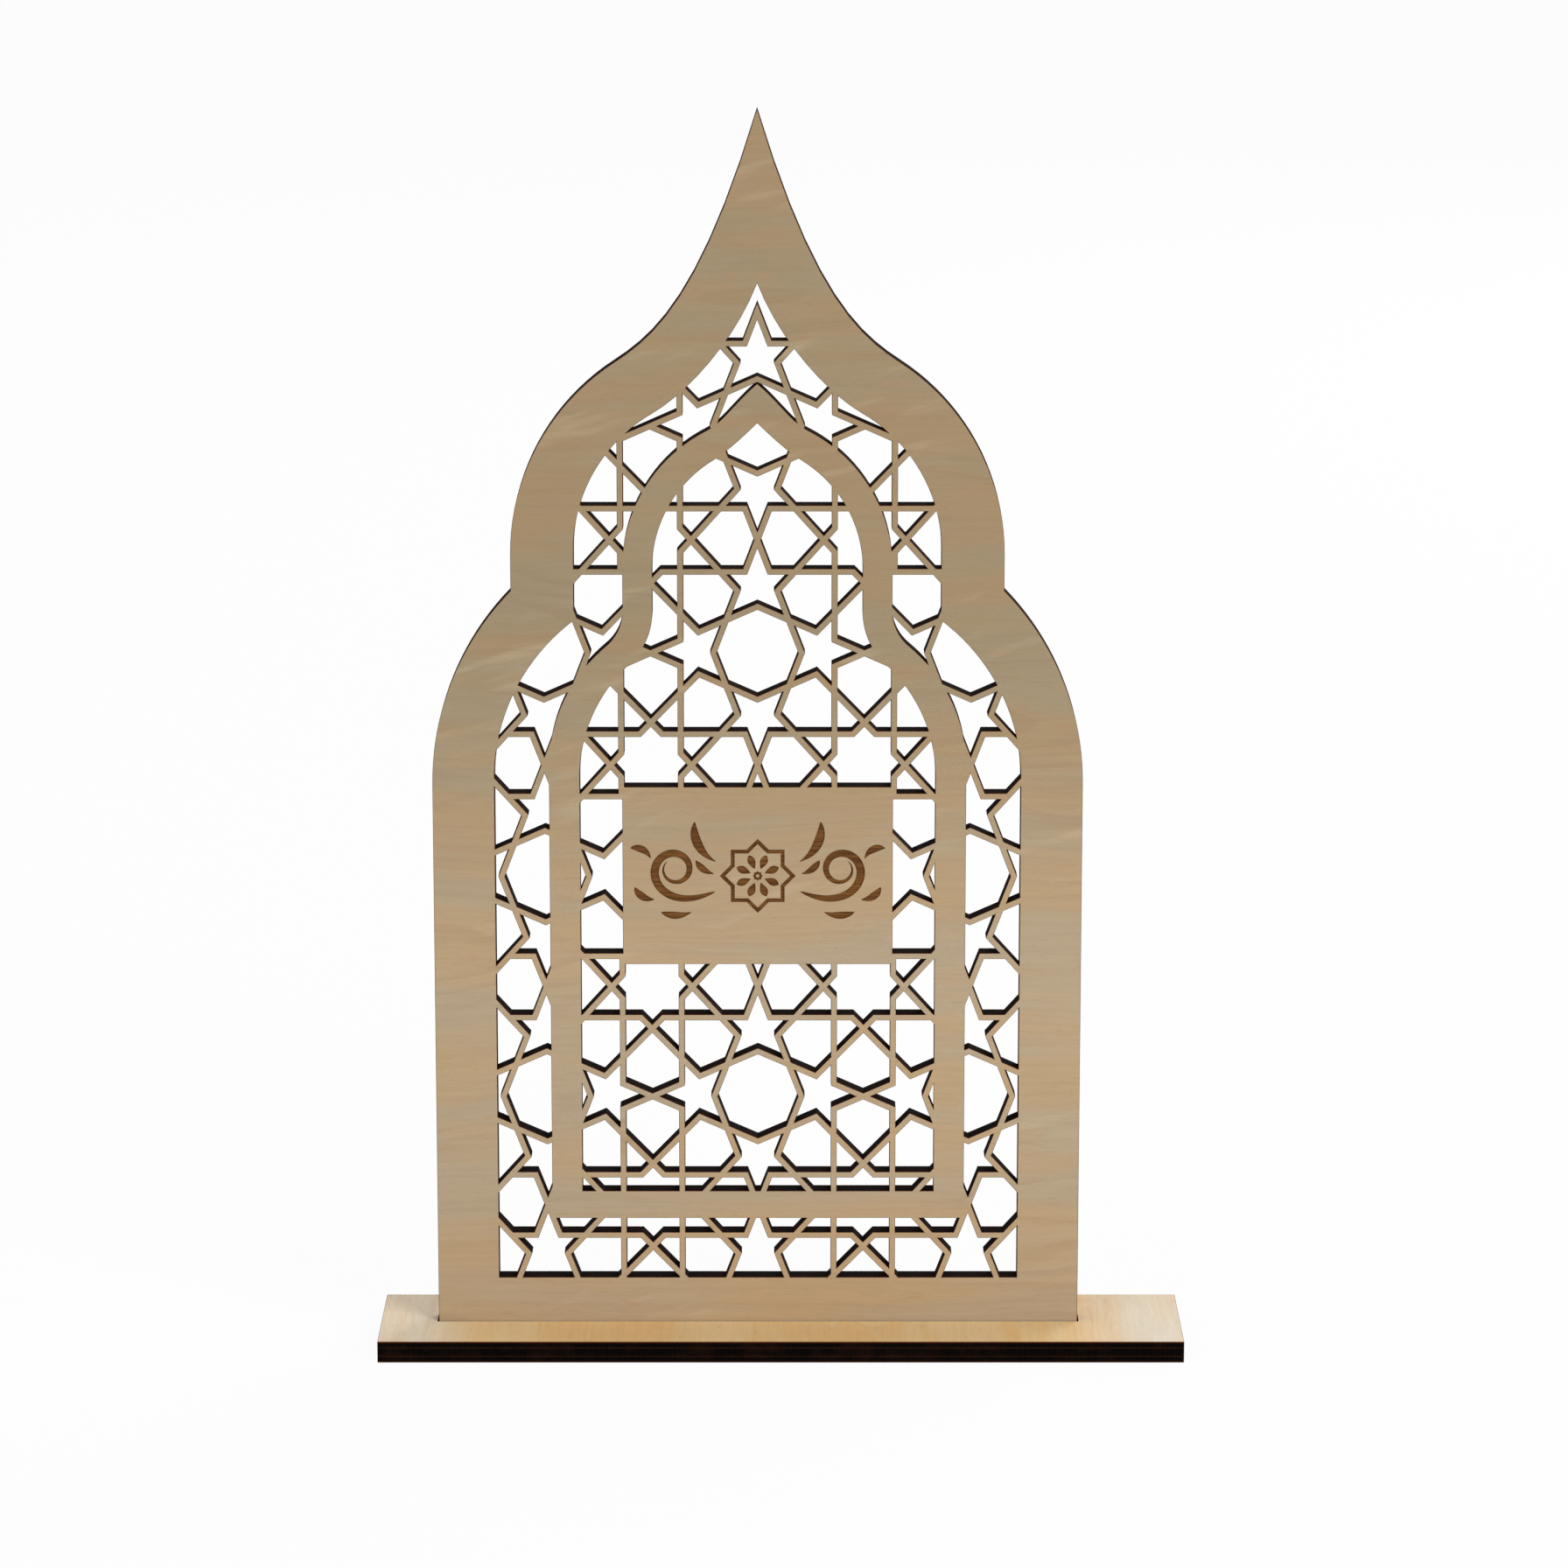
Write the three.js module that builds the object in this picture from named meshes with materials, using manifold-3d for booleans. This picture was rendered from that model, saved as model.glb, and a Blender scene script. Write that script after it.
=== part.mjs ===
// Free-standing pierced arch: a flat plywood panel cut through with geometric strapwork,
// standing upright in the slot of a rectangular plywood base.
// Millimetres, +X to the right, +Y to the back, +Z up. The origin is the middle of the
// base's underside. Both pieces are cut from one sheet thickness with straight walls, as a
// laser leaves them.

import * as THREE from 'three';
import { mergeVertices } from 'three/addons/utils/BufferGeometryUtils.js';
import Module from 'manifold-3d';

// Sheets

const PANEL_SHEET = 6; // thickness of the panel
const BASE_SHEET = 6; // thickness of the base
const FIT_CLEARANCE = 0.3; // gap between the panel's foot and each wall of the slot

// Base

const BASE_LENGTH = 222; // along X
const BASE_DEPTH = 44; // along Y
const SLOT_OFFSET = -6.3; // the slot's middle lies left of the base's middle

// Panel above the base. Heights are above the base's top.

const PANEL_WIDTH = 177.4;
const FRAME_WIDTH = 16.9; // solid frame along the sides
const OUTER_FIELD_WIDTH = 14.9; // strapwork between the frame and the inner band
const BAND_WIDTH = 8.4; // solid inner band along the sides
const SILL_HEIGHT = 12.7; // solid bar between the base and the lowest windows
const BAND_SILL_HEIGHT = 29.8; // to the inner band's lower edge
const BAND_FLOOR_HEIGHT = 37.6; // to the inner band's upper edge
const SPRING_HEIGHT = 154.8; // to the level where the sides begin to curve in
const PLAQUE_WIDTH = 73.9;
const PLAQUE_HEIGHT = 49.8;
const PLAQUE_BOTTOM = 102.3; // to the plaque's lower edge

// The four stepped arches, from the outside in. Each has straight sides, a shoulder that
// curves in to a notch, a lobe above it, and a crown that sweeps up to a point. The lobe is
// narrower than the sides by its step, and upright below its centre. Its centre and the
// point lie a rise above the spring and the lobe's centre. Angles are in degrees.

const OUTLINE = {
  halfWidth: PANEL_WIDTH / 2,
  springHeight: SPRING_HEIGHT - 1.9,
  shoulderRadius: 76.8,
  notchRadius: 0,
  lobeStep: 21.8,
  lobeRise: 63.6,
  lobeRadius: 62.6,
  lobeTurn: 56.9,
  crownRise: 120.5,
  crownSlope: 16.8,
  crownLeave: 13,
  crownReach: 52.5,
};

const FRAME_INSIDE = {
  halfWidth: OUTLINE.halfWidth - FRAME_WIDTH,
  springHeight: SPRING_HEIGHT - 0.8,
  shoulderRadius: 55.7,
  notchRadius: 0,
  lobeStep: 22,
  lobeRise: 63.5,
  lobeRadius: 43.5,
  lobeTurn: 59.7,
  crownRise: 72.8,
  crownSlope: 21,
  crownLeave: 10.5,
  crownReach: 17,
};

const BAND_OUTSIDE = {
  halfWidth: FRAME_INSIDE.halfWidth - OUTER_FIELD_WIDTH,
  springHeight: SPRING_HEIGHT + 2.7,
  shoulderRadius: 44,
  notchRadius: 13,
  lobeStep: 20.3,
  lobeRise: 55.5,
  lobeRadius: 42,
  lobeTurn: 63,
  crownRise: 50.2,
  crownSlope: 50,
  crownLeave: 5,
  crownReach: 7.5,
};

const BAND_INSIDE = {
  halfWidth: BAND_OUTSIDE.halfWidth - BAND_WIDTH,
  springHeight: SPRING_HEIGHT,
  shoulderRadius: 42.8,
  notchRadius: 20,
  lobeStep: 20,
  lobeRise: 57.7,
  lobeRadius: 35,
  lobeTurn: 57.7,
  crownRise: 39.9,
  crownSlope: 46,
  crownLeave: 5,
  crownReach: 6,
};

// Strapwork. The pattern repeats in cells around octagons. The other numbers are places in
// a cell, counted in half cells from the octagon's middle.

const CELL_WIDTH = 58.1;
const CELL_HEIGHT = 62.3;
const STRAP_WIDTH = 1.65;
const FIRST_OCTAGON_HEIGHT = 64.7; // base's top to the middle of the octagons of row 0
const FIRST_ROW = -1; // a row whose octagons lie below the sill
const OCTAGON_CORNER = 0.413; // reach of the octagon's corners along the axes
const KNEE_ALONG = 0.551; // where a strap turns from the octagon's edge to the diagonal
const KNEE_ACROSS = 0.186;
const SIDE_CROSSING = 0.619; // where the diagonals cross on the cell's side
const RAIL_LINE = 0.721; // upright and level straps
const RELIEF_REACH = 2; // rails within so many strap widths of the wood's edge may be left off
const SMALLEST_WINDOW = 1.8; // slivers of less than this area, in mm², are left uncut

// Drawing and cutting

const CURVE_STEPS = 10; // steps on each crown curve; an arc takes twice as many
const CUT_OVERSHOOT = 2; // how far a cutting body stands out of the sheet on each side
const STRAP_LAP = 0.3; // how far a strap runs past its end, as a share of its width
const WELD = 1e-4; // corners closer than this are one corner
const TIDY = 0.01; // details smaller than this are smoothed away once all cuts are made

const slotLength = PANEL_WIDTH + 2 * FIT_CLEARANCE;
const slotWidth = PANEL_SHEET + 2 * FIT_CLEARANCE;

const wood = new THREE.MeshStandardMaterial({ color: 0xb0936c, roughness: 0.8, metalness: 0 });
const paleWood = new THREE.MeshStandardMaterial({ color: 0xcfb088, roughness: 0.8, metalness: 0 });

// Points of an arc from one angle to another, both ends included
function arcPoints(centre, radius, from, to) {
  const arc = new THREE.EllipseCurve(centre.x, centre.y, radius, radius, from, to, to < from);
  return arc.getPoints(2 * CURVE_STEPS);
}

const shoulderCentre = (arch) => (
  new THREE.Vector2(arch.halfWidth - arch.shoulderRadius, arch.springHeight)
);

const lobeHalfWidth = (arch) => arch.halfWidth - arch.lobeStep;
const lobeHeight = (arch) => arch.springHeight + arch.lobeRise;
const crownHeight = (arch) => lobeHeight(arch) + arch.crownRise;

const lobeCentre = (arch) => (
  new THREE.Vector2(lobeHalfWidth(arch) - arch.lobeRadius, lobeHeight(arch))
);

// Where the shoulder meets the lobe's upright side, or the centre of the fillet between them
function archNotch(arch) {
  const shoulder = shoulderCentre(arch);
  const reach = arch.shoulderRadius + arch.notchRadius;
  const x = lobeHalfWidth(arch) + arch.notchRadius;
  return new THREE.Vector2(x, shoulder.y + Math.sqrt(reach ** 2 - (x - shoulder.x) ** 2));
}

// The right half of a stepped arch, from its spring line up to its point
function archFlank(arch) {
  const shoulder = shoulderCentre(arch);
  const notch = archNotch(arch);
  const shoulderEnd = notch.clone().sub(shoulder).angle();
  const turn = THREE.MathUtils.degToRad(arch.lobeTurn);
  const slope = THREE.MathUtils.degToRad(arch.crownSlope);

  const flank = arcPoints(shoulder, arch.shoulderRadius, 0, shoulderEnd);
  if (arch.notchRadius > 0) {
    const from = shoulderEnd + Math.PI;
    flank.push(...arcPoints(notch, arch.notchRadius, from, Math.PI).slice(1));
  }
  const lobeArc = arcPoints(lobeCentre(arch), arch.lobeRadius, 0, turn);
  flank.push(...lobeArc);

  const leave = lobeArc.at(-1);
  const point = new THREE.Vector2(0, crownHeight(arch));
  const crown = new THREE.CubicBezierCurve(
    leave,
    new THREE.Vector2(-Math.sin(turn), Math.cos(turn)).multiplyScalar(arch.crownLeave).add(leave),
    new THREE.Vector2(Math.sin(slope), -Math.cos(slope)).multiplyScalar(arch.crownReach).add(point),
    point,
  );
  flank.push(...crown.getPoints(CURVE_STEPS).slice(1));
  return flank;
}

// A whole stepped arch that stands on a level line, as a closed outline
function archOutline(arch, bottom) {
  const right = archFlank(arch);
  const left = right.slice(0, -1).map((p) => new THREE.Vector2(-p.x, p.y));
  const feet = [
    new THREE.Vector2(-arch.halfWidth, bottom),
    new THREE.Vector2(arch.halfWidth, bottom),
  ];
  return [...feet, ...right, ...left.reverse()];
}

function rectangle(width, bottom, height) {
  return [
    new THREE.Vector2(-width / 2, bottom),
    new THREE.Vector2(width / 2, bottom),
    new THREE.Vector2(width / 2, bottom + height),
    new THREE.Vector2(-width / 2, bottom + height),
  ];
}

// An upright slab of an outline drawn in x and height, centred on y = 0
function uprightSlab(outline, thickness) {
  const shape = new THREE.Shape(outline);
  const slab = new THREE.ExtrudeGeometry(shape, { depth: thickness, bevelEnabled: false });
  slab.translate(0, 0, -thickness / 2);
  slab.rotateX(Math.PI / 2);
  return slab;
}

const wasm = await Module();
wasm.setup();

function toSolid(geometry) {
  const bare = geometry.clone();
  bare.deleteAttribute('normal');
  bare.deleteAttribute('uv');
  const welded = mergeVertices(bare, WELD);
  return new wasm.Manifold(new wasm.Mesh({
    numProp: 3,
    vertProperties: new Float32Array(welded.attributes.position.array),
    triVerts: new Uint32Array(welded.index.array),
  }));
}

function toGeometry(solid) {
  const mesh = solid.getMesh();
  const geometry = new THREE.BufferGeometry();
  geometry.setAttribute('position', new THREE.BufferAttribute(mesh.vertProperties, 3));
  geometry.setIndex(new THREE.BufferAttribute(mesh.triVerts, 1));
  geometry.computeVertexNormals();
  return geometry;
}

// The outline of a flat strap along a line of points, with mitred corners. Both ends run
// on a little, so that they lie inside the strap that crosses there.
function strapOutline(line, width) {
  const half = width / 2;
  const left = [];
  const right = [];
  line.forEach((point, i) => {
    const before = i > 0 ? point.clone().sub(line[i - 1]).normalize() : null;
    const after = i < line.length - 1 ? line[i + 1].clone().sub(point).normalize() : null;
    const into = before ?? after;
    const out = after ?? before;
    const mitre = new THREE.Vector2(-into.y - out.y, into.x + out.x).normalize();
    const reach = half / mitre.dot(new THREE.Vector2(-into.y, into.x));
    const centre = point.clone();
    if (!before) centre.addScaledVector(after, -STRAP_LAP * width);
    if (!after) centre.addScaledVector(before, STRAP_LAP * width);
    left.push(centre.clone().addScaledVector(mitre, reach));
    right.push(centre.clone().addScaledVector(mitre, -reach));
  });
  return [...right, ...left.reverse()];
}

// The straps of one cell, in half cells from the octagon's middle. A knee strap runs over
// the octagon from side to side. A tip strap comes in on a diagonal, follows an upright
// rail, turns out to a star's tip on the cell's side and goes back likewise. Each is also
// mirrored, and laid with x and height exchanged. Where an octagon's peak would only just
// show above the sill, it is left out.
function cellStraps(peaks) {
  const octagonSlope = (OCTAGON_CORNER - KNEE_ACROSS) / KNEE_ALONG;
  const diagonalSlope = (SIDE_CROSSING - KNEE_ACROSS) / (1 - KNEE_ALONG);
  const tipShoulder = (1 - RAIL_LINE) * octagonSlope;
  const railEnd = 1 - (RAIL_LINE - SIDE_CROSSING) / diagonalSlope;
  const knee = [
    [-1, SIDE_CROSSING],
    [-KNEE_ALONG, KNEE_ACROSS],
    [0, OCTAGON_CORNER],
    [KNEE_ALONG, KNEE_ACROSS],
    [1, SIDE_CROSSING],
  ];
  const tip = [
    [SIDE_CROSSING, 1],
    [RAIL_LINE, railEnd],
    [RAIL_LINE, tipShoulder],
    [1, 0],
    [RAIL_LINE, -tipShoulder],
    [RAIL_LINE, -railEnd],
    [SIDE_CROSSING, -1],
  ];
  const flipped = (line) => line.map(([x, z]) => [-x, -z]);
  const exchanged = (line) => line.map(([x, z]) => [z, x]);
  const bothWays = (line) => [line, flipped(line)];
  const over = peaks ? [knee] : [knee.slice(0, 2), knee.slice(-2)];
  return {
    uprights: bothWays(tip),
    levels: bothWays(exchanged(tip)),
    knees: [...over, flipped(knee), ...bothWays(exchanged(knee))],
  };
}

// Slabs where rails are left off. Upright rails are left off along the sides of the plaque
// and of the band's lobe, where they would only double the edge of the solid wood, and these
// slabs end at level rails. Level rails are left off where they would only cut the corner of
// a window off along the frame's sides, up to the first rail above their spring.
function railRelief(thickness, rows) {
  const levelRails = rows.flatMap((row) => [-RAIL_LINE, RAIL_LINE].map(
    (z) => FIRST_OCTAGON_HEIGHT + (row + z / 2) * CELL_HEIGHT,
  ));
  const railAbove = (height) => Math.min(...levelRails.filter((rail) => rail > height));
  const railBelow = (height) => Math.max(...levelRails.filter((rail) => rail < height));
  const strip = (x, bottom, top) => {
    const outline = rectangle(2 * RELIEF_REACH * STRAP_WIDTH, bottom, top - bottom);
    return toSolid(uprightSlab(outline, thickness)).translate([x, 0, 0]);
  };
  const bothSides = (x, bottom, top) => strip(x, bottom, top).add(strip(-x, bottom, top));
  const besidePlaque = bothSides(
    PLAQUE_WIDTH / 2,
    railAbove(PLAQUE_BOTTOM),
    railBelow(PLAQUE_BOTTOM + PLAQUE_HEIGHT),
  );
  const besideLobe = bothSides(
    lobeHalfWidth(BAND_OUTSIDE),
    archNotch(BAND_OUTSIDE).y - BAND_OUTSIDE.notchRadius,
    railBelow(lobeHeight(BAND_OUTSIDE)),
  );
  const besideFrame = bothSides(
    FRAME_INSIDE.halfWidth,
    SILL_HEIGHT,
    railAbove(FRAME_INSIDE.springHeight) + STRAP_WIDTH,
  );
  return { uprights: besidePlaque.add(besideLobe), levels: besideFrame };
}

// The strapwork over all the windows, as one solid. The outer columns end at the middle of
// their last octagon, under the frame's curve.
function strapwork(thickness) {
  const columns = Math.ceil(FRAME_INSIDE.halfWidth / CELL_WIDTH - 0.5);
  const fieldHeight = crownHeight(FRAME_INSIDE) - FIRST_OCTAGON_HEIGHT;
  const lastRow = Math.floor(fieldHeight / CELL_HEIGHT);
  const rows = Array.from({ length: lastRow - FIRST_ROW + 1 }, (_, i) => FIRST_ROW + i);
  const straps = { uprights: [], levels: [], knees: [] };
  for (const row of rows) {
    const cell = cellStraps(row > FIRST_ROW);
    for (let column = -columns; column <= columns; column += 1) {
      const lowerHalfOnly = row === lastRow && column !== 0;
      const place = ([x, z]) => new THREE.Vector2(
        (column + x / 2) * CELL_WIDTH,
        FIRST_OCTAGON_HEIGHT + (row + z / 2) * CELL_HEIGHT,
      );
      const lay = (lines) => lines
        .map((line) => (lowerHalfOnly ? line.filter(([, z]) => z <= 0) : line))
        .filter((line) => line.length > 1)
        .map((line) => strapOutline(line.map(place), STRAP_WIDTH))
        .map((outline) => toSolid(uprightSlab(outline, thickness)));
      for (const kind of Object.keys(straps)) {
        straps[kind].push(...lay(cell[kind]));
      }
    }
  }
  const relief = railRelief(thickness + 2 * CUT_OVERSHOOT, rows);
  const uprights = wasm.Manifold.union(straps.uprights).subtract(relief.uprights);
  const levels = wasm.Manifold.union(straps.levels).subtract(relief.levels);
  const knees = wasm.Manifold.union(straps.knees);
  return knees.add(levels).add(uprights);
}

// The panel stands on the level of the base's underside: its foot is as deep as the slot.
// The strapwork fills the outer field, between frame and band, and the inner field, between
// band and plaque.
function makePanel() {
  const cutDepth = PANEL_SHEET + 2 * CUT_OVERSHOOT;
  const slab = (outline, thickness) => toSolid(uprightSlab(outline, thickness));
  const blank = slab(archOutline(OUTLINE, -BASE_SHEET), PANEL_SHEET);
  const outerField = slab(archOutline(FRAME_INSIDE, SILL_HEIGHT), cutDepth);
  const innerField = slab(archOutline(BAND_INSIDE, BAND_FLOOR_HEIGHT), cutDepth);

  const keepDepth = cutDepth + 2 * CUT_OVERSHOOT;
  const band = slab(archOutline(BAND_OUTSIDE, BAND_SILL_HEIGHT), keepDepth);
  const plaque = slab(rectangle(PLAQUE_WIDTH, PLAQUE_BOTTOM, PLAQUE_HEIGHT), keepDepth);
  const fields = outerField.subtract(band).add(innerField.subtract(plaque));
  const windows = fields.subtract(strapwork(keepDepth)).decompose();
  const cut = windows.filter((window) => window.volume() > SMALLEST_WINDOW * cutDepth);
  const pierced = blank.subtract(wasm.Manifold.union(cut)).simplify(TIDY);
  const panel = new THREE.Mesh(toGeometry(pierced), wood);
  panel.name = 'panel';
  panel.position.set(SLOT_OFFSET, 0, BASE_SHEET);
  return panel;
}

// The base is a plate with a through slot, drawn in plan and extruded upwards
function makeBase() {
  const plate = new THREE.Shape(rectangle(BASE_LENGTH, -BASE_DEPTH / 2, BASE_DEPTH));
  const slot = rectangle(slotLength, -slotWidth / 2, slotWidth);
  plate.holes = [new THREE.Path(slot.map((p) => new THREE.Vector2(p.x + SLOT_OFFSET, p.y)))];
  const geometry = new THREE.ExtrudeGeometry(plate, { depth: BASE_SHEET, bevelEnabled: false });
  const base = new THREE.Mesh(geometry, paleWood);
  base.name = 'base';
  return base;
}

const group = new THREE.Group();
group.add(makeBase(), makePanel());

export default group;
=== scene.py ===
import math
from collections import namedtuple

import bmesh
import bpy
import numpy as np
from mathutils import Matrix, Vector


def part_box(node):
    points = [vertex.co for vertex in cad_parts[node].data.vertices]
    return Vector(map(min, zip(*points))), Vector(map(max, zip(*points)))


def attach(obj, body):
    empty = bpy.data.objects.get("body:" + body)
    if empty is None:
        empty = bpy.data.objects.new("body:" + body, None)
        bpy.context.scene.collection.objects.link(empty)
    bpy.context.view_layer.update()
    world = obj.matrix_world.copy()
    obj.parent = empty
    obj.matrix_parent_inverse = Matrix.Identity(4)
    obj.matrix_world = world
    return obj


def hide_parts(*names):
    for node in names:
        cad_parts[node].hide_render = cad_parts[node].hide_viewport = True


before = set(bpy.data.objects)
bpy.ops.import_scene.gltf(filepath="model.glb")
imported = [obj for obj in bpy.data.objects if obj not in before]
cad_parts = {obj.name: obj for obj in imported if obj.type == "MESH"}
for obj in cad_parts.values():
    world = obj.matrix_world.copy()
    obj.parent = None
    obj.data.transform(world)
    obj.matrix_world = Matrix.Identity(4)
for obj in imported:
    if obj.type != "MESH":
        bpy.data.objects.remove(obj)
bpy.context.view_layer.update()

bl_info = {
    "name": "Pierced Arch Stand",
    "version": (1, 0, 0),
    "blender": (4, 5, 0),
    "location": "3D View > Sidebar > Stand",
    "description": "Dresses a laser-cut plywood arch and its base, engraves its plaque and lights it",
    "category": "Object",
}

MM = 0.001
PANEL_NODE = "panel"
BASE_NODE = "base"
PANEL_PIECE = "panel_plywood"
BASE_PIECE = "base_plywood"
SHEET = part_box(PANEL_NODE)[1][1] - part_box(PANEL_NODE)[0][1]
SHEET_MM = SHEET / MM
PLIES = 5
PLY_MM = SHEET_MM / PLIES
WHITE = (1, 1, 1, 1)

# Turns that lay X along the grain, Y across it and Z through the sheet, and the step in mm to the
# place on the veneer that the piece is cut from and to the sheet's middle.
PANEL_LAY = {"turn": (-math.pi / 2, 0, 0), "step": (290, 0, 0)}
BASE_LAY = {"turn": (0, 0, -math.pi / 2), "step": (0, -6, -SHEET_MM / 2)}

# A mark in the veneer or the burn: the size of its lumps in mm along the grain, across it and
# through the sheet, the detail and roughness of its noise, the noise values between which it fades
# in, and its strength. Real fibres are about 0.03 mm wide, and the beam's marks and the sweeps of
# the engraving 0.1 mm apart. All three are drawn coarser, so that they show.
Mark = namedtuple("Mark", "size detail roughness low high most")
PATCHES = Mark((110, 15, 15), 3.0, 0.5, 0.4, 0.6, 1.0)
FLAMES = Mark((30, 4.5, 4.5), 2.0, 0.5, 0.52, 0.74, 0.22)
FLAME_GROUPS = Mark((75, 26, 26), 1.0, 0.5, 0.48, 0.6, 1.0)
RING_GROUPS = Mark((110, 40, 40), 2.0, 0.5, 0.42, 0.66, 1.0)
STREAKS = Mark((85, 1.5, 1.5), 4.0, 0.6, 0.35, 0.75, 1.0)
FIBRES = Mark((11, 0.33, 0.33), 3.0, 0.6, 0.35, 0.75, 1.0)
PORES = Mark((3.4, 0.42, 0.42), 1.0, 0.5, 0.66, 0.74, 1.0)
FLECKS = Mark((9, 3, 3), 1.0, 0.5, 0.66, 0.8, 0.18)
BEAM_MARKS = Mark((0.4, 0.4, 40), 2.0, 0.6, 0.4, 0.7, 1.0)
BLOTS = Mark((9, 9, 5), 3.0, 0.6, 0.45, 0.7, 1.0)
BURN_STREAKS = Mark((9, 0.6, 0.6), 3.0, 0.6, 0.35, 0.7, 0.7)

BURN_SWEEP = 0.5  # mm from one sweep of the engraving's beam to the next
SWEEP_TONE = 0.15  # how far a sweep's tone swings to both sides

FLAME_SLOPE = math.radians(14)
RINGS = 15.0  # contour lines from the lowest to the highest value of their noise
RING_DETAIL = 1.5
RING_ROUGHNESS = 0.4
RING_FADE = (0.35, 0.94)  # a ring darkens slowly over this part of its width and ends sharply
DRIFT = (95, 38, 38)  # mm from one bend of the grain to the next
DRIFT_DETAIL = 3.0
DRIFT_REACH = 9.0  # mm that the bends move the grain aside

# How much of the grain's colour each kind of mark takes.
RING_SHADE = 0.17
STREAK_SHADE = 0.12
FIBRE_SHADE = 0.08
PORE_SHADE = 0.15

# Size in mm of the lumps that the rings go round, where the sheet goes over from its first tones
# to its second in mm across the grain, and the least roughness. The second tones are painted
# light: painted shade that darkens the panel towards its crown, and a painted highlight that pales
# both ends of the base.
PANEL_FIGURE = ((170, 30, 30), (98, 218), 0.6)
BASE_FIGURE = ((60, 14, 14), (72, 110), 0.55)
STREAK_ROUGHNESS = 0.12  # a streak is rougher by this

# On the burnt wall: how much of the browner char the beam's marks and the blots take, the paler
# line of a cross ply as mm from its middle where it starts and is full and its strength, and the
# toast as mm from the corner where it starts and is full and its strength.
MARK_SCORCH = 0.14
BLOT_SCORCH = 0.2
PLY_LINE = (0.22, 0.05, 0.6)
TOAST = (0.5, 0.1, 0.85)

# How strong each bump is, and how deep.
VENEER_BUMP = {"Strength": 0.35, "Distance": 0.05 * MM}
CHAR_BUMP = {"Strength": 0.4, "Distance": 0.06 * MM}
BURN_BUMP = {"Strength": 0.5, "Distance": 0.08 * MM}

WOOD_IOR = 1.5
CHAR_SURFACE = {"Roughness": 0.85, "IOR": 1.45, "Specular IOR Level": 0.02}
BURN_SURFACE = {"Roughness": 0.8, "IOR": 1.45, "Specular IOR Level": 0.2}

MERGE_DIGITS = 7  # points of the CAD face are merged to this many decimals of a metre
SAME_LEVEL = 1e-6
FACING = 0.999  # least cosine between a triangle of the face and the way it looks
NO_LENGTH = 1e-30
SHARP_CORNER = math.radians(24)
LEAST_MITRE = 0.3  # keeps the mitre of a very sharp corner short
EDGE_SHARE = 0.45  # most of an edge's length that the arris may take at one end

STROKE_STEPS = 56
STROKE_TIP = 0.06  # half width in mm at a stroke's ends
STROKE_FULLNESS = 0.8
STAR_EYE = (0.5, 1.4)  # inner and outer radius in mm of the small star in the middle

# The camera's place in metres and its lens in mm.
CAMERA_PLACE = (0.0009, -1.6433, 0.522)
CAMERA_TILT = math.radians(77.52)
LENS = 141.43
SENSOR = 36

WORLD_LIGHT = 0.42
FLOOR_WHITE = 0.95  # share of the floor that rays of the camera see as plain white
FLOOR_REACH = 15

# Name, place and size in metres, and power in watts. Each lamp looks at LAMP_AIM.
LAMPS = (
    ("key", (1.5, -1.7, 1.3), 1.2, 34),
    ("fill", (-1.6, -1.6, 0.9), 1.4, 9),
    ("rim", (1.5, 1.9, 1.0), 1.4, 26),
)
LAMP_AIM = (0, 0, 0.17)


def linear(code):
    """Linear colour of an sRGB hex code.

    Each value v is ((v + 0.055) / 1.055) ** 2.4, or v / 12.92 near black.
    """
    values = [int(code[place:place + 2], 16) / 255 for place in (1, 3, 5)]
    return tuple(v / 12.92 if v <= 0.04045 else ((v + 0.055) / 1.055) ** 2.4 for v in values)


def colour(label, text, code):
    """A colour setting whose default is an sRGB hex code."""
    return bpy.props.FloatVectorProperty(
        name=label, description=text, default=linear(code), size=3, min=0, max=1, subtype="COLOR")


def length(label, text, millimetres):
    """A length setting in metres whose default is given in millimetres."""
    return bpy.props.FloatProperty(
        name=label, description=text, default=millimetres * MM, min=0, precision=5, unit="LENGTH")


class StandShape(bpy.types.PropertyGroup):
    arris: length("Arris", "Width of the toasted corner along every cut edge", 0.12)
    engraving_depth: length("Engraving depth", "How deep the ornament is burnt into the plaque", 0.35)
    engraving_middle: length("Engraving height", "Height of the middle of the ornament", 133.2)
    star_radius: length("Star radius", "From the middle of the star to its points", 10.4)
    star_line: length("Star line", "Width of the line that draws the star", 1.5)


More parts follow.
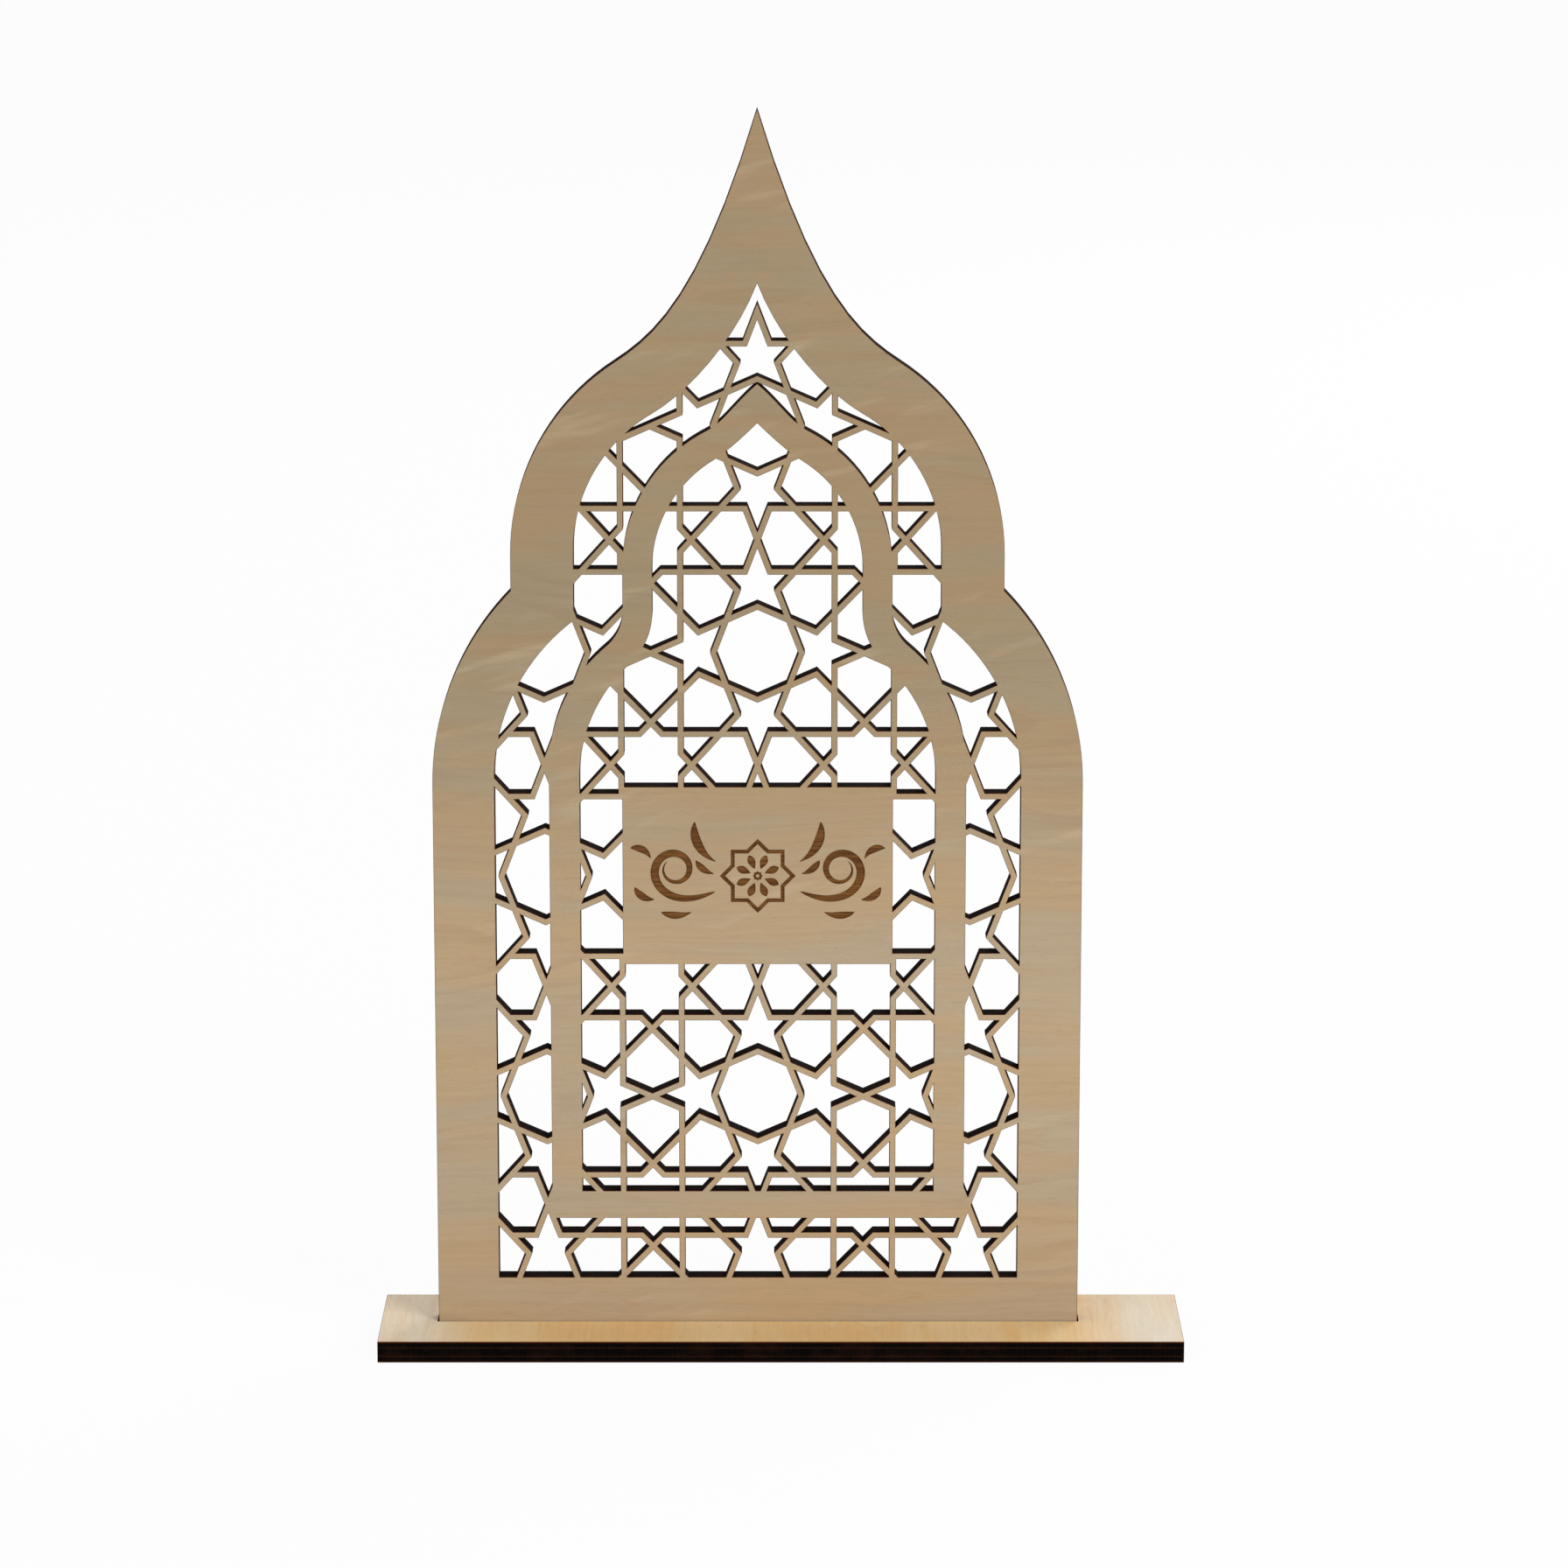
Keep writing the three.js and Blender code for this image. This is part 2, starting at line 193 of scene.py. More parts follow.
class StandFinish(bpy.types.PropertyGroup):
    panel_warm: colour("Panel warm", "Pinkish brown patches of the panel's veneer", "#BA9E79")
    panel_cool: colour("Panel cool", "Greenish grey patches of the panel's veneer", "#B4A083")
    panel_dark: colour("Panel grain", "Late wood and fibres of the panel's veneer", "#8A6F4E")
    # Painted shade: these two tones darken and grey the panel towards its crown, standing in for light that
    # falls off towards the top.
    crown_shade_warm: colour("Crown warm", "Darker brown patches towards the crown of the panel", "#9E8562")
    crown_shade_cool: colour("Crown cool", "Darker grey patches towards the crown of the panel", "#998769")
    base_warm: colour("Base warm", "Orange patches of the base's veneer", "#EEC587")
    base_cool: colour("Base cool", "Pale patches of the base's veneer", "#F0D09B")
    base_dark: colour("Base grain", "Late wood and fibres of the base's veneer", "#B98C56")
    # Painted highlight: these two tones pale both ends of the base where the lamps' sheen falls. They are
    # not sapwood.
    ends_highlight_warm: colour("Ends warm", "Pale sapwood at both ends of the base", "#F3DFC1")
    ends_highlight_cool: colour("Ends cool", "Palest sapwood at both ends of the base", "#F0E5D0")
    char_dark: colour("Char", "Burnt wall of a laser cut", "#060504")
    char_brown: colour("Scorch", "Browner marks on the burnt wall", "#331D13")
    toast: colour("Toast", "Corner between a face and a burnt wall", "#5C2A14")
    burn_dark: colour("Burn dark", "Deep marks of the engraving", "#4C2C10")
    burn_light: colour("Burn light", "Lighter streaks of the engraving", "#855829")
    panel_pale: colour("Panel flame", "Pale flames in the panel's veneer", "#D2C0A2")
    base_pale: colour("Base flame", "Pale flames in the base's veneer", "#F3DDB4")
    fleck: colour("Fleck", "Short orange flecks in both veneers", "#B07C4E")
    floor: colour("Floor", "Plain floor under the stand", "#F9F9F7")


def add(tree, kind, sockets=None, out=0, **settings):
    """Adds a node and gives back one of its outputs.

    A socket is filled by a value, or by a link from an output.
    """
    node = tree.nodes.new("ShaderNode" + kind)
    for key, value in settings.items():
        setattr(node, key, value)
    for key, value in (sockets or {}).items():
        if isinstance(value, bpy.types.NodeSocket):
            tree.links.new(value, node.inputs[key])
        else:
            node.inputs[key].default_value = value
    return node.outputs[out] if node.outputs else None


def blank(name):
    """A material with an empty tree."""
    material = bpy.data.materials.new(name)
    material.use_nodes = True
    material.node_tree.nodes.clear()
    return material, material.node_tree


def opaque(values):
    """A colour setting with full alpha, for a node's colour socket."""
    return (*values, 1.0)


def sheet_place(tree, lay):
    """Object coordinates in mm: X along the grain, Y across it, Z through the sheet from its middle."""
    place = add(tree, "TexCoord", out="Object")
    sockets = {"Vector": place, "Rotation": lay["turn"], "Location": lay["step"]}
    sockets["Scale"] = (1 / MM, 1 / MM, 1 / MM)
    return add(tree, "Mapping", sockets)


def cloud(tree, place, size, detail, roughness):
    """Noise whose lumps are size millimetres long, wide and deep."""
    stretch = tuple(1 / s for s in size)
    stretched = add(tree, "VectorMath", {0: place, 1: stretch}, operation="MULTIPLY")
    sockets = {"Vector": stretched, "Scale": 1.0, "Detail": detail, "Roughness": roughness}
    return add(tree, "TexNoise", sockets)


def above(tree, value, low, high, most=1.0):
    """0 at low and before it, most at high and past it, and smooth between.

    Where high is the smaller, the value counts downwards.
    """
    sockets = {"Value": value, "From Min": low, "From Max": high, "To Max": most}
    return add(tree, "MapRange", sockets, interpolation_type="SMOOTHSTEP")


def marked(tree, place, mark):
    """How strongly a mark shows at a place: 0 between marks."""
    lumps = cloud(tree, place, mark.size, mark.detail, mark.roughness)
    return above(tree, lumps, mark.low, mark.high, mark.most)


def veneer(name, lay, tones, lumps, change, least_rough):
    """Sanded rotary-cut veneer, unfinished.

    To the eye it is low in contrast and dry, with slow patches of two tones, pale flames that slope
    across the grain, contour lines where the knife passed through the year rings, and short dark
    pores. lumps is the size in mm of what the contour lines go round. change is where the sheet
    starts and ends going over from its first pair of tones to its second, in mm across the grain.
    That second pair is painted light: painted shade that darkens the panel towards its crown, and a
    painted highlight that pales both ends of the base.
    """
    warm, cool, painted_light_warm, painted_light_cool, dark, pale, orange = tones
    material, tree = blank(name)
    place = sheet_place(tree, lay)
    bends = tuple(1 / s for s in DRIFT)
    drift = add(tree, "VectorMath", {0: place, 1: bends}, operation="MULTIPLY")
    drift = add(tree, "TexNoise", {"Vector": drift, "Scale": 1.0, "Detail": DRIFT_DETAIL}, out="Color")
    aside = (0.0, DRIFT_REACH, DRIFT_REACH)
    grain = add(tree, "VectorMath", {0: drift, 1: aside, 2: place}, operation="MULTIPLY_ADD")

    patches = marked(tree, grain, PATCHES)
    near = add(tree, "Mix", {0: patches, 6: opaque(warm), 7: opaque(cool)}, out=2, data_type="RGBA")
    # The far tones are painted light: painted shade towards the panel's crown and a painted highlight at
    # both ends of the base.
    far = add(tree, "Mix", {0: patches, 6: opaque(painted_light_warm), 7: opaque(painted_light_cool)}, out=2, data_type="RGBA")
    across = add(tree, "SeparateXYZ", {0: grain}, out="Y")
    across = add(tree, "Math", {0: across}, operation="ABSOLUTE")
    # How much of the painted light is laid on across the grain: painted shade on the panel from 98 mm up, a
    # painted highlight on the base from 72 mm out.
    painted_light_share = above(tree, across, *change)
    ground = add(tree, "Mix", {0: painted_light_share, 6: near, 7: far}, out=2, data_type="RGBA")

    slope = {"Vector": grain, "Axis": (0, 0, 1), "Angle": -FLAME_SLOPE}
    sloping = add(tree, "VectorRotate", slope)
    flames = marked(tree, sloping, FLAMES)
    flamed = marked(tree, grain, FLAME_GROUPS)
    flames = add(tree, "Math", {0: flames, 1: flamed}, operation="MULTIPLY")
    ground = add(tree, "Mix", {0: flames, 6: ground, 7: opaque(pale)}, out=2, data_type="RGBA")

    rings = cloud(tree, grain, lumps, RING_DETAIL, RING_ROUGHNESS)
    rings = add(tree, "Math", {0: rings, 1: RINGS}, operation="MULTIPLY")
    rings = add(tree, "Math", {0: rings}, operation="FRACT")
    fade = above(tree, rings, *RING_FADE)
    close = above(tree, rings, RING_FADE[1], 1.0)
    late = add(tree, "Math", {0: fade, 1: close}, operation="SUBTRACT")
    ringed = marked(tree, grain, RING_GROUPS)
    late = add(tree, "Math", {0: late, 1: ringed}, operation="MULTIPLY")

    streaks = marked(tree, grain, STREAKS)
    fibres = marked(tree, grain, FIBRES)
    pores = marked(tree, grain, PORES)

    shade = add(tree, "Math", {0: late, 1: RING_SHADE}, operation="MULTIPLY")
    shade = add(tree, "Math", {0: streaks, 1: STREAK_SHADE, 2: shade}, operation="MULTIPLY_ADD")
    shade = add(tree, "Math", {0: fibres, 1: FIBRE_SHADE, 2: shade}, operation="MULTIPLY_ADD")
    shade = add(tree, "Math", {0: pores, 1: PORE_SHADE, 2: shade}, operation="MULTIPLY_ADD", use_clamp=True)
    face = add(tree, "Mix", {0: shade, 6: ground, 7: opaque(dark)}, out=2, data_type="RGBA")
    flecks = marked(tree, grain, FLECKS)
    face = add(tree, "Mix", {0: flecks, 6: face, 7: opaque(orange)}, out=2, data_type="RGBA")

    relief = add(tree, "Math", {0: pores, 1: -1.0, 2: fibres}, operation="MULTIPLY_ADD")
    bump = add(tree, "Bump", {"Height": relief, **VENEER_BUMP})
    most_rough = least_rough + STREAK_ROUGHNESS
    rough = add(tree, "MapRange", {"Value": streaks, "To Min": least_rough, "To Max": most_rough})
    sockets = {"Base Color": face, "Roughness": rough, "Normal": bump, "IOR": WOOD_IOR}
    add(tree, "OutputMaterial", {"Surface": add(tree, "BsdfPrincipled", sockets)})
    return material


def charred_edge(name, lay, dark, brown, toast):
    """Five-ply edge burnt by the laser.

    To the eye it is nearly black and matt, with faint paler lines where the cross plies take less
    char, upright marks left by the pulsing beam, and a thin toasted line at both corners.
    """
    material, tree = blank(name)
    place = sheet_place(tree, lay)
    through = add(tree, "SeparateXYZ", {0: place}, out="Z")
    depth = add(tree, "Math", {0: through}, operation="ABSOLUTE")
    marks = marked(tree, place, BEAM_MARKS)
    blots = marked(tree, place, BLOTS)
    off_line = add(tree, "Math", {0: depth, 1: PLY_MM}, operation="SUBTRACT")
    off_line = add(tree, "Math", {0: off_line}, operation="ABSOLUTE")
    line = above(tree, off_line, *PLY_LINE)
    scorch = add(tree, "Math", {0: marks, 1: MARK_SCORCH}, operation="MULTIPLY")
    scorch = add(tree, "Math", {0: blots, 1: BLOT_SCORCH, 2: scorch}, operation="MULTIPLY_ADD")
    scorch = add(tree, "Math", {0: scorch, 1: line}, operation="ADD", use_clamp=True)
    wall = add(tree, "Mix", {0: scorch, 6: opaque(dark), 7: opaque(brown)}, out=2, data_type="RGBA")
    start, full, most = TOAST
    corner = above(tree, depth, SHEET_MM / 2 - start, SHEET_MM / 2 - full, most)
    wall = add(tree, "Mix", {0: corner, 6: wall, 7: opaque(toast)}, out=2, data_type="RGBA")
    bump = add(tree, "Bump", {"Height": marks, **CHAR_BUMP})
    sockets = {"Base Color": wall, "Normal": bump, **CHAR_SURFACE}
    add(tree, "OutputMaterial", {"Surface": add(tree, "BsdfPrincipled", sockets)})
    return material


def raster_burn(name, lay, dark, light):
    """Wood burnt away by a laser that sweeps side to side.

    To the eye it is a matt brown with fine level lines, darker where the beam dwelt and paler where
    the early wood went deeper.
    """
    material, tree = blank(name)
    place = sheet_place(tree, lay)
    across = add(tree, "SeparateXYZ", {0: place}, out="Y")
    sweep = add(tree, "Math", {0: across, 1: 2 * math.pi / BURN_SWEEP}, operation="MULTIPLY")
    sweep = add(tree, "Math", {0: sweep}, operation="SINE")
    sweep = add(tree, "Math", {0: sweep, 1: SWEEP_TONE, 2: SWEEP_TONE}, operation="MULTIPLY_ADD")
    streaks = marked(tree, place, BURN_STREAKS)
    tone = add(tree, "Math", {0: sweep, 1: streaks}, operation="ADD", use_clamp=True)
    burnt = add(tree, "Mix", {0: tone, 6: opaque(dark), 7: opaque(light)}, out=2, data_type="RGBA")
    bump = add(tree, "Bump", {"Height": tone, **BURN_BUMP})
    sockets = {"Base Color": burnt, "Normal": bump, **BURN_SURFACE}
    add(tree, "OutputMaterial", {"Surface": add(tree, "BsdfPrincipled", sockets)})
    return material


def build_mesh(name, points, faces, kinds):
    """Puts points and one or more face arrays into a mesh.

    kinds gives each array's material and smoothness.
    """
    mesh = bpy.data.meshes.new(name)
    counts = np.concatenate([np.full(len(part), part.shape[1]) for part in faces])
    corners = np.concatenate([part.ravel() for part in faces])
    mesh.vertices.add(len(points))
    mesh.vertices.foreach_set("co", points.astype(np.float32).ravel())
    mesh.loops.add(int(counts.sum()))
    mesh.loops.foreach_set("vertex_index", corners.astype(np.int32))
    mesh.polygons.add(len(counts))
    mesh.polygons.foreach_set("loop_start", (np.cumsum(counts) - counts).astype(np.int32))
    sizes = [len(part) for part in faces]
    material, smooth = (np.repeat([kind[k] for kind in kinds], sizes) for k in (0, 1))
    mesh.polygons.foreach_set("material_index", material.astype(np.int32))
    mesh.polygons.foreach_set("use_smooth", smooth.astype(bool))
    mesh.update(calc_edges=True)
    if mesh.validate():
        raise RuntimeError(f"{name} had faces that are not valid")
    return mesh


def add_piece(name, mesh):
    """A new object at the origin that holds the mesh."""
    piece = bpy.data.objects.new(name, mesh)
    bpy.context.scene.collection.objects.link(piece)
    return piece


def face_of(node, facing):
    """The CAD node's flat face that looks along facing, as merged points and triangles.

    The node is only read.
    """
    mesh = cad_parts[node].data.copy()
    points = np.empty(len(mesh.vertices) * 3)
    mesh.vertices.foreach_get("co", points)
    mesh.calc_loop_triangles()
    triangles = np.empty(len(mesh.loop_triangles) * 3, dtype=np.int64)
    mesh.loop_triangles.foreach_get("vertices", triangles)
    bpy.data.meshes.remove(mesh)
    merged, place = np.unique(np.round(points.reshape(-1, 3), MERGE_DIGITS), axis=0, return_inverse=True)
    triangles = place.ravel()[triangles].reshape(-1, 3)
    a, b, c = (merged[triangles[:, k]] for k in range(3))
    normals = np.cross(b - a, c - a)
    normals /= np.maximum(np.linalg.norm(normals, axis=1, keepdims=True), NO_LENGTH)
    level = merged @ facing
    flat = (normals @ facing > FACING) & (level[triangles].min(axis=1) > level.max() - SAME_LEVEL)
    used, place = np.unique(triangles[flat], return_inverse=True)
    return merged[used], place.reshape(-1, 3)


def fuller(points, triangles):
    """The same flat face, with its inner edges turned until no triangle is needlessly thin.

    A thin triangle would fold over when its points move in from the edge.
    """
    mesh = build_mesh("face", points / MM, [triangles], [(0, False)])
    net = bmesh.new()
    net.from_mesh(mesh)
    inner = [edge for edge in net.edges if not edge.is_boundary]
    bmesh.ops.beautify_fill(net, faces=net.faces[:], edges=inner, method="AREA")
    net.to_mesh(mesh)
    net.free()
    corners = np.empty(len(mesh.loops), dtype=np.int32)
    mesh.loops.foreach_get("vertex_index", corners)
    bpy.data.meshes.remove(mesh)
    return corners.reshape(-1, 3).astype(np.int64)


def profile_along_outline(node, facing, arris):
    """The sheet as a profile carried along every outline of its face.

    The profile goes in from the edge by the arris on the face, over the arris to the cut wall, down
    the wall, and over the far arris. A point moves in along the mitre of its two edges,
    (i1 + i2) / (1 + i1 . i2), where an edge's i is facing x direction. The two faces close it.
    """
    outline, triangles = face_of(node, facing)
    triangles = fuller(outline, triangles)
    count = len(outline)
    starts = triangles.ravel()
    ends = np.roll(triangles, -1, axis=1).ravel()
    free = ~np.isin(starts * count + ends, ends * count + starts)
    starts, ends = starts[free], ends[free]
    if len(starts) != count or len(np.unique(starts)) != count or len(np.unique(ends)) != count:
        raise RuntimeError(f"{node} has a face whose outlines touch or leave a point inside")
    along = outline[ends] - outline[starts]
    lengths = np.linalg.norm(along, axis=1)
    inward = np.cross(facing, along / lengths[:, None])
    leaving, arriving = np.empty_like(inward), np.empty_like(inward)
    leaving[starts], arriving[ends] = inward, inward
    shortest = np.empty(count)
    shortest[starts] = lengths
    shortest[ends] = np.minimum(shortest[ends], lengths)
    spread = 1 + (leaving * arriving).sum(axis=1, keepdims=True)
    mitre = (leaving + arriving) / np.maximum(spread, LEAST_MITRE)
    inset = outline + mitre * np.minimum(arris, EDGE_SHARE * shortest)[:, None]

    steps = (0, arris, SHEET - arris, SHEET)
    rings = [ring - facing * step for ring, step in zip((inset, outline, outline, inset), steps)]
    lower = [(starts + k * count, ends + k * count) for k in range(4)]
    strips = [np.stack([lower[k + 1][0], lower[k + 1][1], lower[k][1], lower[k][0]], 1) for k in range(3)]
    faces = [triangles, triangles[:, ::-1] + 3 * count, *strips]
    kinds = [(0, False), (0, False), (1, False), (1, True), (1, False)]
    return build_mesh(node + "_profile", np.concatenate(rings), faces, kinds)


def finish_sheet(piece, node, materials):
    """Gives the sheet its materials, keeps its corners sharp and stands it in for its CAD node."""
    for material in materials:
        piece.data.materials.append(material)
    piece.data.set_sharp_from_angle(angle=SHARP_CORNER)
    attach(piece, node)
    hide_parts(node)


def star(radius, points=8, waist=0.765):
    """A star's outline, anticlockwise: at equal angles it reaches radius, then radius x waist."""
    turn = np.arange(2 * points) * np.pi / points
    reach = np.where(np.arange(2 * points) % 2 == 0, radius, radius * waist)
    return np.stack([reach * np.cos(turn), reach * np.sin(turn)], axis=1)


def pen_stroke(start, heading, run, turn, width, ease, swell):
    """Both sides of a stroke drawn from start.

    The heading turns by turn x t ** ease over the run, the pen's path is the sum of its steps, and
    the half width is a sine of t ** swell, so that the stroke is thin at both tips.
    """
    t = np.linspace(0, 1, STROKE_STEPS)
    angle = np.radians(heading + turn * t ** ease)
    middle = (angle[1:] + angle[:-1]) / 2
    steps = np.stack([np.cos(middle), np.sin(middle)], axis=1) * run / (len(t) - 1)
    path = np.array(start) + np.concatenate([[[0, 0]], np.cumsum(steps, axis=0)])
    bulge = np.clip(np.sin(np.pi * t ** swell), 0, 1) ** STROKE_FULLNESS
    half = STROKE_TIP + (width / 2 - STROKE_TIP) * bulge
    side = np.stack([-np.sin(angle), np.cos(angle)], axis=1) * half[:, None]
    return path + side, path - side


# Strokes of the ornament's right half in mm and degrees: start, heading, run, turn, width, ease
# and swell. A petal of the star is drawn the same way.
SCROLL_STROKES = (
    ((11.6, -4.4), -22, 50, 520, 2.3, 1.75, 0.75),
    ((11.4, 4.0), 25, 13.5, 75, 2.6, 1.0, 1.3),
    ((12.0, 0.6), 10, 6.4, 55, 1.9, 1.0, 1.3),
    ((29.3, 4.9), 70, 6.8, -85, 2.0, 1.0, 1.2),
    ((28.3, -6.6), -5, 6.8, 75, 2.1, 1.0, 1.2),
    ((18.2, -10.2), -25, 8.5, 50, 2.0, 1.0, 1.2),
)
PETAL = ((2.1, 0.0), 0, 4.1, 0, 2.1, 1.0, 1.3)
PETALS = 8


def strip_between(left, right, closed):
    """Points and faces of a strip between two lines of equal count.

    Both lines stand on a front and a back sheet, faces join them all round, and an open strip has
    a face at each end.
    """
    count = len(left)
    here = np.arange(count if closed else count - 1)
    there = (here + 1) % count
    rows = [(row[0] * count, row[1] * count) for row in ((1, 0), (3, 1), (2, 3), (0, 2))]
    faces = [np.stack([here + a, there + a, there + b, here + b], 1) for a, b in rows]
    if not closed:
        ends = np.array([[0, 2 * count, 3 * count, count], [0, count, 3 * count, 2 * count]])
        ends[1] += count - 1
        faces.append(ends)
    return np.concatenate([left, right, left, right]), np.concatenate(faces)


def ornament_cutter(shape):
    """One mesh of separate strips that the engraving takes out of the plaque."""
    low, high = (np.array(corner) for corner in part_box(PANEL_NODE))
    centre = np.array([(low[0] + high[0]) / 2, 0, shape.engraving_middle])
    outer, line = shape.star_radius / MM, shape.star_line / MM
    inner_eye, outer_eye = STAR_EYE
    strips = [(star(outer - line), star(outer), True), (star(inner_eye), star(outer_eye), True)]
    left, right = pen_stroke(*PETAL)
    for turn in np.pi / PETALS + np.arange(PETALS) * 2 * np.pi / PETALS:
        spin = np.array([[math.cos(turn), math.sin(turn)], [-math.sin(turn), math.cos(turn)]])
        strips.append((left @ spin, right @ spin, False))
    for stroke in SCROLL_STROKES:
        left, right = pen_stroke(*stroke)
        strips.append((left, right, False))
        strips.append((right * (-1, 1), left * (-1, 1), False))
    points, faces, count = [], [], 0
    for left, right, closed in strips:
        flat, cells = strip_between(left, right, closed)
        sheets = [low[1] - shape.engraving_depth, low[1] + shape.engraving_depth]
        deep = np.repeat(sheets, len(flat) // 2)
        points.append(centre + np.stack([flat[:, 0] * MM, deep, flat[:, 1] * MM], axis=1))
        faces.append(cells + count)
        count += len(flat)
    return build_mesh("ornament_cutter", np.concatenate(points), [np.concatenate(faces)], [(0, False)])


def seen_white(tree):
    """1 for rays of the camera, of a reflection and through glass, which see a plain white room, else 0."""
    seen = add(tree, "LightPath", out="Is Camera Ray")
    for kind in ("Is Glossy Ray", "Is Transmission Ray"):
        seen = add(tree, "Math", {0: seen, 1: add(tree, "LightPath", out=kind)}, operation="MAXIMUM")
    return seen


class STAND_OT_panel(bpy.types.Operator):
    """Makes the pierced arch panel from its CAD face"""
    bl_idname = "stand.panel"
    bl_label = "Panel"

    def execute(self, context):
        shape, finish = context.scene.stand_shape, context.scene.stand_finish
        facing = np.array([0.0, -1.0, 0.0])
        piece = add_piece(PANEL_PIECE, profile_along_outline(PANEL_NODE, facing, shape.arris))
        tones = (finish.panel_warm, finish.panel_cool, finish.crown_shade_warm, finish.crown_shade_cool,
                 finish.panel_dark, finish.panel_pale, finish.fleck)
        face = veneer("sanded_veneer_panel", PANEL_LAY, tones, *PANEL_FIGURE)
        burnt = (finish.char_dark, finish.char_brown, finish.toast)
        edge = charred_edge("charred_ply_panel", PANEL_LAY, *burnt)
        finish_sheet(piece, PANEL_NODE, (face, edge))
        return {"FINISHED"}


class STAND_OT_engraving(bpy.types.Operator):
    """Burns a star and scrolls into the panel's plaque"""
    bl_idname = "stand.engraving"
    bl_label = "Engraving"

    def execute(self, context):
        shape, finish = context.scene.stand_shape, context.scene.stand_finish
        piece = bpy.data.objects.get(PANEL_PIECE)
        if piece is None:
            raise RuntimeError("the engraving needs the panel")
        burn = raster_burn("laser_engraving", PANEL_LAY, finish.burn_dark, finish.burn_light)
        cutter = add_piece("ornament_cutter", ornament_cutter(shape))
        cutter.data.materials.append(burn)
        cut = piece.modifiers.new("engraving", "BOOLEAN")
        cut.operation = "DIFFERENCE"
        cut.solver = "MANIFOLD"
        cut.material_mode = "TRANSFER"
        cut.object = cutter
        context.view_layer.objects.active = piece
        before = len(piece.data.polygons)
        bpy.ops.object.modifier_apply(modifier=cut.name)
        bpy.data.objects.remove(cutter)
        if len(piece.data.polygons) <= before:
            raise RuntimeError("the engraving did not cut the panel")
        return {"FINISHED"}


class STAND_OT_base(bpy.types.Operator):
    """Makes the base board from its CAD face"""
    bl_idname = "stand.base"
    bl_label = "Base"

    def execute(self, context):
        shape, finish = context.scene.stand_shape, context.scene.stand_finish
        facing = np.array([0.0, 0.0, 1.0])
        piece = add_piece(BASE_PIECE, profile_along_outline(BASE_NODE, facing, shape.arris))
        tones = (finish.base_warm, finish.base_cool, finish.ends_highlight_warm, finish.ends_highlight_cool,
                 finish.base_dark, finish.base_pale, finish.fleck)
        face = veneer("sanded_veneer_base", BASE_LAY, tones, *BASE_FIGURE)
        burnt = (finish.char_dark, finish.char_brown, finish.toast)
        edge = charred_edge("charred_ply_base", BASE_LAY, *burnt)
        finish_sheet(piece, BASE_NODE, (face, edge))
        return {"FINISHED"}


